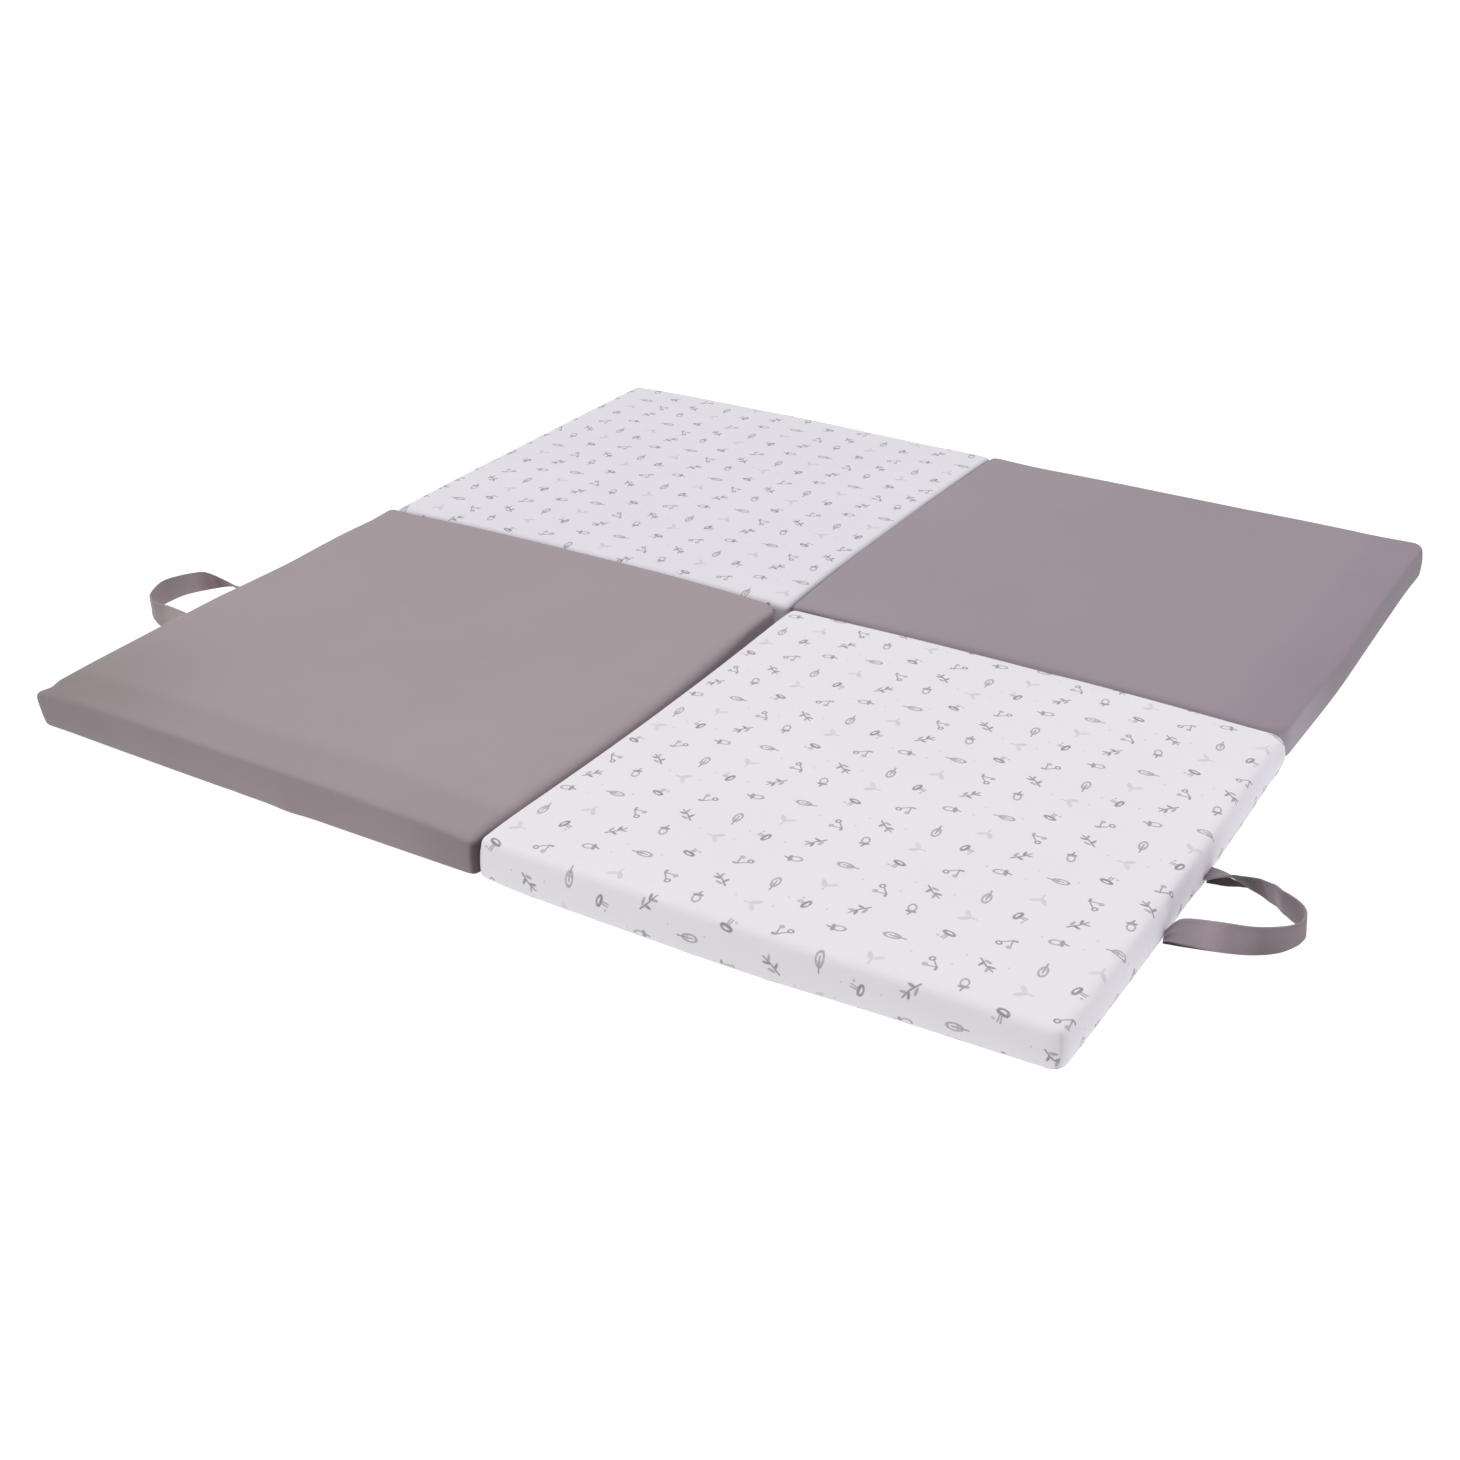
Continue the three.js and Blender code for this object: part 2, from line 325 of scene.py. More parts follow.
def makeOvalGroup():
    sheet, given, result = newGroup(
        "inkOval",
        [("Place", vector, None), ("Centre", vector, (0, 0, 0)), ("Long", number, 3.0),
         ("Short", number, 2.0), ("Turn", number, 0.0), ("Line", number, 0.0),
         ("Edge", number, printCloth["edge"])],
        [("Ink", number)],
    )
    reach = sheet.vector("SUBTRACT", given["Place"], given["Centre"])
    turned = sheet.node("ShaderNodeVectorRotate", {"Vector": reach, "Angle": given["Turn"]},
                        rotation_type="Z_AXIS", invert=True).outputs["Vector"]
    size = sheet.node("ShaderNodeCombineXYZ", {"X": given["Long"], "Y": given["Short"], "Z": 1.0})
    spread = sheet.vector("LENGTH", sheet.vector("DIVIDE", turned, size.outputs["Vector"]))
    outside = sheet.math("MULTIPLY", sheet.math("SUBTRACT", spread, 1.0), given["Short"])
    # a Line above zero leaves the oval as an outline of that width
    ringed = sheet.math("SUBTRACT", sheet.math("ABSOLUTE", outside), given["Line"])
    hollow = sheet.math("GREATER_THAN", given["Line"], 0.0)
    chosen = sheet.node("ShaderNodeMix", {0: hollow, 2: outside, 3: ringed}, data_type="FLOAT")
    sheet.feed(result["Ink"], sheet.ramp(chosen.outputs[0], given["Edge"], 0.0))
    return sheet.tree


strokeGroup = makeStrokeGroup()
ovalGroup = makeOvalGroup()

# each motif is a list of strokes (x, y, x, y, start, end, ink)
# and one of ovals (x, y, long, short, degrees, line, ink)
motifs = {
    "twig": {
        "strokes": [(-8, -4, 1, 0, 0.5, 0.45, 0.85), (1, 0, 8, 5, 0.45, 0.35, 0.85)],
        "ovals": [(-4, 1.4, 2.8, 1.0, 55, 0, 0.7), (-1.2, -3.4, 2.8, 1.0, -40, 0, 0.85),
                  (2.6, 3.8, 2.8, 1.0, 70, 0, 0.85), (5.8, 0.8, 2.6, 0.9, -20, 0, 0.7)],
    },
    "acorn": {
        "strokes": [(0, 4.6, 1.4, 7.6, 0.55, 0.45, 0.85)],
        "ovals": [(0, -2, 4.6, 3.0, 90, 0.45, 0.7), (0, 2.8, 3.8, 1.5, 0, 0, 0.8)],
    },
    "leafOutline": {
        "strokes": [(0, -9, 0, 4.2, 0.45, 0.3, 0.8), (0, -2, 2.2, 0.6, 0.3, 0.3, 0.6),
                    (0, -2, -2.2, 0.6, 0.3, 0.3, 0.6)],
        "ovals": [(0, 2, 6, 3.1, 90, 0.45, 0.7)],
    },
    "sprout": {
        "strokes": [(0, -7, 0, -1, 0.6, 0.5, 0.34)],
        "ovals": [(-3.4, 1.6, 4.4, 1.9, 130, 0, 0.34), (3.4, 2.2, 4.4, 1.9, 42, 0, 0.26)],
    },
    "mushroom": {
        "strokes": [(-1.2, -5.5, -0.8, 1.2, 0.4, 0.4, 0.7), (1.2, -5.5, 0.8, 1.2, 0.4, 0.4, 0.7),
                    (-4.4, 1.4, 4.4, 1.4, 0.6, 0.6, 0.9)],
        "ovals": [(0, 2.6, 4.4, 2.2, 0, 0.5, 0.85), (-4.8, -4.8, 1.2, 0.8, 0, 0, 0.5)],
    },
    "berries": {
        "strokes": [(0, 7, -4.2, -1, 0.42, 0.35, 0.8), (0, 7, 4.0, 0.6, 0.42, 0.35, 0.8),
                    (0, 7, 2.8, 8.4, 0.7, 0.9, 0.8)],
        "ovals": [(-4.4, -3, 2.1, 1.9, 0, 0.45, 0.85), (4.2, -1.4, 2.1, 1.9, 0, 0, 0.6)],
    },
}


def makeMotifGroup(name, motif):
    sheet, given, result = newGroup(name, [("Place", vector, None)], [("Ink", number)])
    ink = None
    for x0, y0, x1, y1, start, end, strength in motif["strokes"]:
        stroke = sheet.group(strokeGroup, Place=given["Place"], From=(x0, y0, 0), To=(x1, y1, 0),
                             Start=start, End=end)
        part = sheet.math("MULTIPLY", stroke.outputs["Ink"], strength)
        ink = part if ink is None else sheet.math("MAXIMUM", ink, part)
    for x, y, longHalf, shortHalf, degrees, line, strength in motif["ovals"]:
        oval = sheet.group(ovalGroup, Place=given["Place"], Centre=(x, y, 0), Long=longHalf,
                           Short=shortHalf, Turn=math.radians(degrees), Line=line)
        part = sheet.math("MULTIPLY", oval.outputs["Ink"], strength)
        ink = sheet.math("MAXIMUM", ink, part)
    sheet.feed(result["Ink"], ink)
    return sheet.tree


# a half-drop layout: columns of cells, every second one moved down by half a cell
def makePrintGroup():
    sheet, given, result = newGroup(
        "plantPrint", [("Place", vector, None)], [("Ink", number)],
    )
    wide, high, kinds = printCloth["cellWide"], printCloth["cellHigh"], printCloth["kinds"]
    inMillimetres = sheet.vector("SCALE", given["Place"], scale=1 / mm)
    split = sheet.node("ShaderNodeSeparateXYZ", {"Vector": inMillimetres})
    column = sheet.math("DIVIDE", split.outputs["X"], wide)
    columnIndex = sheet.math("FLOOR", column)
    odd = sheet.math("FLOORED_MODULO", columnIndex, 2.0)
    row = sheet.math("MULTIPLY_ADD", odd, 0.5, sheet.math("DIVIDE", split.outputs["Y"], high))
    rowIndex = sheet.math("FLOOR", row)
    x = sheet.math("MULTIPLY", sheet.math("SUBTRACT", sheet.math("FRACT", column), 0.5), wide)
    y = sheet.math("MULTIPLY", sheet.math("SUBTRACT", sheet.math("FRACT", row), 0.5), high)

    # which motif stands in a cell, and how far it is turned and moved
    order = sheet.math("MULTIPLY_ADD", columnIndex, 2.0, sheet.math("MULTIPLY", rowIndex, 5.0))
    kind = sheet.math("FLOORED_MODULO", order, float(kinds))
    cycle = sheet.math("FLOORED_MODULO", sheet.math("MULTIPLY_ADD", rowIndex, 3.0, columnIndex), 4.0)
    tilt = sheet.math("MULTIPLY", sheet.math("SUBTRACT", kind, 2.4), printCloth["tilt"])
    turn = sheet.math("MULTIPLY_ADD", cycle, math.pi / 2, tilt)
    sway = sheet.math("SINE", sheet.math("MULTIPLY", order, 2.1))
    slide = sheet.math("MULTIPLY", sway, printCloth["slide"])
    moved = sheet.node("ShaderNodeCombineXYZ", {
        "X": sheet.math("ADD", x, slide), "Y": sheet.math("SUBTRACT", y, slide),
    })
    small = sheet.vector("SCALE", moved.outputs["Vector"], scale=1 / printCloth["enlarged"])
    place = sheet.node("ShaderNodeVectorRotate", {"Vector": small, "Angle": turn},
                       rotation_type="Z_AXIS").outputs["Vector"]
    ink = None
    for index, (name, motif) in enumerate(motifs.items()):
        drawn = sheet.group(makeMotifGroup(name, motif), Place=place)
        here = sheet.math("COMPARE", kind, float(index), 0.5)
        part = sheet.math("MULTIPLY", drawn.outputs["Ink"], here)
        ink = part if ink is None else sheet.math("MAXIMUM", ink, part)
    corner = sheet.node("ShaderNodeCombineXYZ", {
        "X": sheet.math("SUBTRACT", sheet.math("ABSOLUTE", x), wide * 0.44),
        "Y": sheet.math("SUBTRACT", y, high * 0.12),
    })
    dot = sheet.group(ovalGroup, Place=corner.outputs["Vector"], Long=printCloth["dot"],
                      Short=printCloth["dot"])
    sparse = sheet.math("COMPARE", cycle, 1.0, 0.5)
    dots = sheet.math("MULTIPLY", dot.outputs["Ink"], sparse)
    dots = sheet.math("MULTIPLY", dots, printCloth["dotInk"])
    sheet.feed(result["Ink"], sheet.math("MAXIMUM", ink, dots))
    return sheet.tree


printGroup = makePrintGroup()

# the cloths

cloths = {
    "taupe": {
        "colour": (0.338, 0.288, 0.304), "shade": (0.314, 0.267, 0.283), "amount": 0.5, "fleck": 0.22,
        "roughness": 0.9, "sheen": 0.12, "sheenTint": (0.9, 0.86, 0.9), "thread": 0.42 * mm, "relief": 0.25,
    },
    "print": {
        "colour": (0.735, 0.714, 0.752), "shade": (0.708, 0.687, 0.728), "amount": 0.5, "fleck": 0.15,
        "roughness": 0.9, "sheen": 0.08, "sheenTint": (0.97, 0.95, 1.0), "thread": 0.38 * mm, "relief": 0.2,
    },
    "strap": {
        "colour": (0.24, 0.203, 0.218), "shade": (0.2, 0.168, 0.182), "amount": 0.6, "fleck": 0.3,
        "roughness": 0.88, "sheen": 0.16, "sheenTint": (0.85, 0.8, 0.84), "thread": 0.6 * mm, "relief": 0.4,
    },
    "thread": {
        "colour": (0.262, 0.226, 0.24), "shade": (0.225, 0.193, 0.205), "amount": 0.3, "fleck": 0.2,
        "roughness": 0.8, "sheen": 0.1, "sheenTint": (0.85, 0.8, 0.84), "thread": 0.25 * mm, "relief": 0.2,
    },
}


def makeCloth(name):
    cloth = cloths[name]
    material = bpy.data.materials.new(name + "Cloth")
    material.use_nodes = True
    sheet = NodeSheet(material.node_tree)
    shader = material.node_tree.nodes["Principled BSDF"]
    flat = sheet.node("ShaderNodeUVMap", uv_map="cloth").outputs["UV"]
    solid = sheet.node("ShaderNodeTexCoord").outputs["Object"]
    tone = sheet.group(toneGroup, Place=solid, Colour=(*cloth["colour"], 1), Shade=(*cloth["shade"], 1),
                       Amount=cloth["amount"], Fleck=cloth["fleck"]).outputs["Colour"]
    weave = sheet.group(weaveGroup, Place=flat, Thread=cloth["thread"])
    threads = sheet.math("MULTIPLY", weave.outputs["Tone"], 0.12)
    tone = sheet.mixColour(threads, tone, (1, 1, 1, 1), "SOFT_LIGHT")
    if name == "print":
        ink = sheet.group(printGroup, Place=flat).outputs["Ink"]
        worn = sheet.ramp(sheet.noise(flat, 3 * mm, 3), 0.25, 0.6, 0.8, 1.0)
        dark = sheet.mixColour(ink, (*printCloth["inkSoft"], 1), (*printCloth["inkDark"], 1))
        tone = sheet.mixColour(sheet.math("MULTIPLY", ink, worn), tone, dark)
    # this attribute multiplies the colour of each piece: its uneven tone together with painted light and
    # shade, lighter and darker sides, painted shade in the gaps and along the straps' feet, and painted
    # highlights on the strap rims
    toneAndPaintedLight = sheet.node("ShaderNodeAttribute", attribute_name="toneAndPaintedLight").outputs["Color"]
    tone = sheet.mixColour(1.0, tone, toneAndPaintedLight, "MULTIPLY")
    bump = sheet.node("ShaderNodeBump", {
        "Height": weave.outputs["Height"], "Strength": cloth["relief"], "Distance": 0.12 * mm,
    })
    sheet.feed(shader.inputs["Base Color"], tone)
    sheet.feed(shader.inputs["Normal"], bump.outputs["Normal"])
    setInputs(shader, {
        "Roughness": cloth["roughness"], "Specular IOR Level": 0.2, "Sheen Weight": cloth["sheen"],
        "Sheen Roughness": 0.5, "Sheen Tint": (*cloth["sheenTint"], 1),
    })
    return material


clothMaterials = {name: makeCloth(name) for name in cloths}
print("cloth materials are made")


# small helpers for shapes

def mix(first, second, share):
    return first + (second - first) * share


def mixTint(first, second, share):
    return tuple(mix(a, b, share) for a, b in zip(first, second))


def held(value, low, high):
    return max(low, min(high, value))


def smoothStep(value):
    value = held(value, 0, 1)
    return value * value * (3 - 2 * value)


# a block from -1 to 1 each way, cut into cells, that a formula then bends into shape
def makeBlock(bm, along, across, up):
    bmesh.ops.create_cube(bm, size=2)
    for axis, cells in enumerate((along, across, up)):
        if cells > 1:
            edges = [edge for edge in bm.edges if abs(edge.verts[0].co[axis] - edge.verts[1].co[axis]) > 1]
            bmesh.ops.subdivide_edges(bm, edges=edges, cuts=cells - 1, use_grid_fill=True)
    bm.normal_update()


def faceOf(normal):
    if abs(normal.z) > 0.5:
        return "top" if normal.z > 0 else "bottom"
    if abs(normal.x) > 0.5:
        return "right" if normal.x > 0 else "left"
    return "back" if normal.y > 0 else "front"


def finished(bm, name, cloth):
    mesh = bpy.data.meshes.new(name)
    bm.to_mesh(mesh)
    bm.free()
    piece = bpy.data.objects.new(name, mesh)
    scene.collection.objects.link(piece)
    mesh.materials.append(clothMaterials[cloth])
    return piece


def applied(piece):
    graph = bpy.context.evaluated_depsgraph_get()
    mesh = bpy.data.meshes.new_from_object(piece.evaluated_get(graph))
    old = piece.data
    piece.modifiers.clear()
    piece.data = mesh
    bpy.data.meshes.remove(old)
    mesh.name = piece.name


# stores the colour multiplier for each point, painted light and shade included
def writeToneAndPaintedLight(mesh, tints):
    toneAndPaintedLight = mesh.attributes.new("toneAndPaintedLight", "FLOAT_COLOR", "POINT")
    toneAndPaintedLight.data.foreach_set("color", [value for tint in tints for value in (*tint, 1)])


# the padded sections: sizes in millimetres, sides as front, right, back, left,
# corners as front left, front right, back right, back left

matSize = {
    "half": 603.0, "rowSeam": 7.0, "slit": 3.0, "seamGap": 0.3,
    "bottomRound": 3.0, "sideBelly": 1.2, "cornerDrop": 3,
    "sharpest": 2.0,      # smallest corner radius of an inner ring
    "cellsAcross": 76, "cellsUp": 7, "crowding": 0.35,
    "waves": [(180.0, 0.9), (62.0, 0.28)],  # how long and how high the unevenness of the filling is
    "seamDepth": 0.9, "seamDark": 0.15,
    "turnOver": 80, "ease": 100, "cornerEase": 120,  # how gently sides and corners run into the top
    "underInset": 150,    # how far the cloth underneath is cut from that on top
    "tugRange": 2.6,      # a tug or a crease ends at this many times its reach
    "fill": {
        "pressure": 4.0, "frames": 20, "cap": 2.5, "quality": 4,
        "mass": 0.3, "stretch": 40, "shear": 15, "bend": 5,
        "topHold": 0.55, "sideFree": 0.85,  # how firmly the top is held, how free an outer side is
        "ground": 4,                        # all below this height is held
    },
}
half = matSize["half"]
slitEdge = matSize["slit"] / 2
seamEdge = matSize["seamGap"] / 2
rowSeam = matSize["rowSeam"]

plainTint = (1.0, 1.0, 1.0)
# painted shade on a side that faces a neighbouring section across a gap
paintedGapShade = (0.6, 0.58, 0.6)

# what a pad has unless it says otherwise
plainPad = {
    "crown": 2, "lean": (0, 0, 0, 0), "tint": (plainTint,) * 4,
    "creases": [], "shades": [], "bands": [],
}

# a size or tint that changes along a side is a list of stops: place from -1 to 1, value
pads = [
    {
        "name": "coverFrontLeft", "node": "pad_front_left", "cloth": "taupe", "slot": "taupe_cover",
        "left": -half, "right": -slitEdge, "front": -half, "back": rowSeam - seamEdge,
        "corner": (41, 41, 46, 44), "full": 8, "seed": 3.1, "outer": (1, 0, 0, 1),
        "radius": (3, 9, 26, 10), "shoulder": (9, [(0.47, 13), (0.77, 6)], 10, 11),
        "bow": (2.5, 10, 0, -6), "pull": ((-3, -1), (0, -7), (-3, -2), (0, 0)),
        # each tug: place, reach, move
        "tugs": [
            ((-606, -604, 42), 15, (-3, -3, 0.5)), ((-607, -606, 42), 5, (-5, -3.5, 1.5)),
            ((-603, -587, 44), 9, (3, 0, -1)), ((-600, -600, 0), 26, (7, -1, 0)),
            ((4, -330, 40), 150, (4, 0, 0)),
            ((-604, -210, 44), 70, (2, 0, -1)), ((0, -60, 46), 70, (-4, 0, 0)),
            ((-603, 0, 44), 30, (0, 0, 3)), ((-240, -606, 5), 20, (0, -2, 0)),
            ((-232, -606, 22), 9, (0, 1.5, 0)), ((-318, -606, 10), 9, (0, 1, 0)),
        ],
        # each crease: from, to, width, height
        "creases": [((-91, -26), (-66, -18), 5, 0.5), ((-596, -590), (-560, -560), 9, -1.2)],
        "tint": ((0.96, 0.96, 0.96), (0.99, 0.985, 0.985), (0.96, 0.955, 0.96), (0.97, 0.965, 0.97)),
        # painted light and shade on the sides, front, right, back and left: lighter or darker as light
        # falls on them, dark in the gaps
        "paintedSideLight": (
            [(-0.95, (1.0, 0.95, 1.0)), (-0.6, (0.93, 0.92, 0.94)), (-0.3, (0.87, 0.86, 0.88)),
             (0.7, (0.86, 0.85, 0.87)), (0.93, (0.77, 0.76, 0.77)), (0.975, (0.75, 0.74, 0.75)),
             (0.99, (0.3, 0.28, 0.3))],
            [(-0.98, (0.3, 0.28, 0.3)), (-0.85, (0.85, 0.83, 0.85)), (0.45, (1.08, 1.08, 1.1)),
             (0.6, (1.1, 1.1, 1.13))],
            plainTint, plainTint,
        ),
        # each shade: place, reach, tint
        "shades": [((-600, -600), 140, (0.77, 0.8, 0.77))],
        "bands": [("front", 52, 26, (0.93, 0.92, 0.92))],
    },
    {
        "name": "coverFrontRight", "node": "pad_front_right", "cloth": "print", "slot": "print_cover",
        "left": slitEdge, "right": half, "front": -half, "back": rowSeam - seamEdge,
        "corner": (43, 40, 42, 46), "full": 5, "seed": 11.7, "outer": (1, 1, 0, 0),
        "radius": (9, 14, 16, 10), "shoulder": (11, 9, 11, 5),
        "lean": ([(-0.05, 3.5), (0.45, 0)], 0, 0, 0),
        "bow": (8, 4.5, 0, -12), "pull": ((-3.5, -2), (1.5, 0), (1.5, -1), (3, 0)),
        "tugs": [
            ((60, -603, 4), 70, (0, -1.5, 0)), ((480, -603, 20), 90, (0, 1, 0)),
            ((600, -6, 22), 20, (4.5, 2, 0)), ((603, -258, 8), 20, (2, 0, 0)),
        ],
        # painted light and shade on the sides
        "paintedSideLight": (plainTint, (1.07, 1.06, 1.08), plainTint, (0.85, 0.83, 0.85)),
    },
    {
        "name": "coverBackRight", "node": "pad_back_right", "cloth": "taupe", "slot": "taupe_cover",
        "left": seamEdge, "right": half, "front": rowSeam + seamEdge, "back": half,
        "corner": (46, 38, 41, 39), "full": 5.5, "seed": 23.9, "outer": (0, 1, 1, 0),
        "radius": (10, 30, 16, 6), "shoulder": (9, 8, 10, 7),
        "bow": (0, 3, -5, 1), "pull": ((0, 0), (0, 0), (0, 1), (-5, 2)),
        "tugs": [
            ((4, 600, 38), 45, (0, 1.5, 2.5)), ((600, 600, 40), 40, (0, 1, 1.5)),
            ((604, 210, 20), 110, (2, 0, 0)), ((350, 603, 42), 190, (0, 0, -2)),
            ((600, 590, 6), 45, (2.5, 0.5, 0)), ((603, 8, 36), 6, (-1.5, 3, -2)),
            ((596, 8, 0), 16, (-6, 1, 2)),
        ],
        "tint": ((0.9, 0.91, 0.93), (0.84, 0.82, 0.91), (0.83, 0.81, 0.9), (0.89, 0.9, 0.92)),
        # painted light and shade on the sides
        "paintedSideLight": (
            [(-0.95, paintedGapShade), (-0.6, (1.35, 1.35, 1.35)), (0.82, (1.3, 1.3, 1.3)),
             (0.92, (1.2, 1.24, 1.22))],
            [(-0.9, (1.3, 1.38, 1.33)), (-0.3, (0.9, 0.92, 0.9)), (0.6, (0.85, 0.88, 0.85))],
            plainTint, paintedGapShade,
        ),
        "shades": [((604, 8), 8, (0.5, 0.48, 0.5))],
        "bands": [("right", 60, 50, (0.96, 0.95, 0.96))],
    },
    {
        "name": "coverBackLeft", "node": "pad_back_left", "cloth": "print", "slot": "print_cover",
        "left": -half, "right": -seamEdge, "front": rowSeam + seamEdge, "back": half,
        "corner": (42, 42, 39, 41), "full": 5, "seed": 31.3, "outer": (0, 0, 1, 1),
        "radius": (10, 10, 5, 10), "shoulder": (10, 8, 8, 10),
        "bow": (0, -1.5, -1, -7), "pull": ((0, 0), (0, 0), (-1.5, -1), (-1, 0)),
        "tugs": [((-603, 60, 42), 50, (1.5, 0, 0)), ((-14, 600, 38), 60, (0, 2, 1.5))],
        "tint": ((0.95, 0.957, 0.98), (0.945, 0.952, 0.975), (0.945, 0.952, 0.975),
                 (0.95, 0.957, 0.98)),
        # painted light and shade on the sides
        "paintedSideLight": (plainTint, paintedGapShade, plainTint, plainTint),
    },
]
pads = [{**plainPad, **pad} for pad in pads]


def placeIn(pad, x, y):
    halfX = (pad["right"] - pad["left"]) / 2
    halfY = (pad["back"] - pad["front"]) / 2
    u = (x - pad["left"] - halfX) / halfX
    v = (y - pad["front"] - halfY) / halfY
    return held(u, -1, 1), held(v, -1, 1)


def atCorners(values, u, v):
    front = mix(values[0], values[1], (u + 1) / 2)
    back = mix(values[3], values[2], (u + 1) / 2)
    return mix(front, back, (v + 1) / 2)


def alongSide(size, place):
    if not isinstance(size, list):
        return size
    for (start, first), (end, last) in zip(size, size[1:]):
        if place < end:
            share = smoothStep((place - start) / (end - start))
            return mixTint(first, last, share) if isinstance(first, tuple) else mix(first, last, share)
    return size[-1][1]


def coverHeight(pad, x, y):
    u, v = placeIn(pad, x, y)
    full = pad["full"] * (1 - abs(u * v) ** matSize["cornerDrop"])
    return atCorners(pad["corner"], u, v) + full + pad["crown"] * (1 - u * u) * (1 - v * v)


def drawnPlace(pad, x, y):
    u, v = placeIn(pad, x, y)
    front, right, back, left = pad["bow"]
    bowX = (right if u > 0 else -left) * abs(u) ** 3 * (1 - v * v)
    bowY = (back if v > 0 else -front) * abs(v) ** 3 * (1 - u * u)
    pullX = atCorners([pull[0] for pull in pad["pull"]], u, v)
    pullY = atCorners([pull[1] for pull in pad["pull"]], u, v)
    return x + bowX + pullX, y + bowY + pullY


# a point of the block as a point of the filled cover, and its place on the flat cloth
def onCover(pad, a, b, c, face):
    halfX = (pad["right"] - pad["left"]) / 2
    halfY = (pad["back"] - pad["front"]) / 2
    u = a + matSize["crowding"] * math.sin(math.pi * a) / math.pi
    v = b + matSize["crowding"] * math.sin(math.pi * b) / math.pi
    gapX = (1 - abs(u)) * halfX
    gapY = (1 - abs(v)) * halfY
    sideX = 1 if u > 0 else 3
    sideY = 2 if v > 0 else 0
    corner = {(False, False): 0, (True, False): 1, (True, True): 2, (False, True): 3}[(u > 0, v > 0)]
    near = min(gapX, gapY)
    beside = abs(gapX - gapY)
    share = held(0.5 + (gapX - gapY) / matSize["turnOver"], 0, 1)  # 1 beside the front or back
    shoulderX = alongSide(pad["shoulder"][sideX], v)
    shoulderY = alongSide(pad["shoulder"][sideY], u)
    shoulder = mix(shoulderX, shoulderY, share)
    lean = mix(alongSide(pad["lean"][sideX], v), alongSide(pad["lean"][sideY], u), share)
    belly, foot = matSize["sideBelly"], matSize["bottomRound"]
    eighth = math.pi / 4
    down = 0.0  # how far down the side, along the cloth
    level = None
    if c > 0.999:
        if near < shoulder:
            turn = eighth * (1 + near / shoulder)
            inset = belly + shoulder * (1 - math.cos(turn))
            drop = shoulder * (1 - math.sin(turn))
        else:
            inset = near + belly * held(1 - (near - shoulder) / matSize["ease"], 0, 1)
            drop = 0.0
    elif c < -0.999:
        if near < foot:
            turn = eighth * (1 + near / foot)
            inset = belly - lean + foot * (1 - math.cos(turn))
            level = foot * (1 - math.sin(turn))
        else:
            inset = near + (belly - lean) * held(1 - (near - foot) / matSize["ease"], 0, 1)
            level = 0.0
    else:
        # rows of the side: two in the shoulder, the rest down to the rounded foot
        row = (1 - c) / 2 * matSize["cellsUp"]
        if row < 2.5:
            turn = eighth * (1 - row / 2)
            inset = belly + shoulder * (1 - math.cos(turn))
            drop = shoulder * (1 - math.sin(turn))
            down = shoulder * eighth * row / 2
        else:
            level = (row - 2) / (matSize["cellsUp"] - 3)
            inset = belly * (2 * level - 1) ** 2 - lean * level
    radius = max(pad["radius"][corner] - inset, matSize["sharpest"])
    if beside < radius:
        turn = eighth * (1 - beside / radius)
        inNear = inset + radius * (1 - math.cos(turn))
        inFar = inset + radius * (1 - math.sin(turn))
    else:
        inNear = inset
        eased = held(1 - (beside - radius) / matSize["cornerEase"], 0, 1)
        inFar = near + beside + (inset - near) * eased
    inX, inY = (inNear, inFar) if gapX <= gapY else (inFar, inNear)
    x = pad["right"] - inX if u > 0 else pad["left"] + inX
    y = pad["back"] - inY if v > 0 else pad["front"] + inY
    top = coverHeight(pad, x, y)
    if level is None:
        z = top - drop
    elif c > -0.999:
        start = top - shoulder
        z = mix(start, foot, level)
        down = shoulder * eighth + (start - z)
    else:
        z = level
    x, y = drawnPlace(pad, x, y)

    # the flat cloth: the top runs on down each side
    def cut(gap, curve):
        return gap if gap > curve else curve - (curve - gap) * eighth
    flatX = cut(gapX, shoulderX)
    flatY = cut(gapY, shoulderY)
    if face in ("left", "right"):
        flatX = cut(0, shoulderX) - down
    if face in ("front", "back"):
        flatY = cut(0, shoulderY) - down
    if face == "bottom":
        flatX, flatY = gapX - matSize["underInset"], gapY - matSize["underInset"]
    clothX = pad["right"] - flatX if u > 0 else pad["left"] + flatX
    clothY = pad["back"] - flatY if v > 0 else pad["front"] + flatY
    return (x * mm, y * mm, z * mm), (clothX * mm, clothY * mm)


def makeCover(pad):
    bm = bmesh.new()
    makeBlock(bm, matSize["cellsAcross"], matSize["cellsAcross"], matSize["cellsUp"])
    flat = bm.loops.layers.uv.new("cloth")
    seam = bm.verts.layers.float.new("seam")
    for face in bm.faces:
        kind = faceOf(face.normal)
        for corner in face.loops:
            corner[flat].uv = onCover(pad, *corner.vert.co, kind)[1]
        face.smooth = True
    for vert in bm.verts:
        upright = min(abs(vert.co.x), abs(vert.co.y)) > 0.999
        vert[seam] = 1.0 if upright else 0.0
        vert.co = onCover(pad, *vert.co, "")[0]
    return finished(bm, pad["name"], pad["cloth"])


# which sides a point faces: shares of front, right, back and left
def sideShares(normal):
    x, y = normal.x, normal.y
    flat = max(x * x + y * y, 1e-6)
    return (y * y / flat if y < 0 else 0, x * x / flat if x > 0 else 0,
            y * y / flat if y > 0 else 0, x * x / flat if x < 0 else 0)


# how far a point faces an outer side of the mat
def freeShare(normal, pad):
    return sum(share * outer for share, outer in zip(sideShares(normal), pad["outer"]))


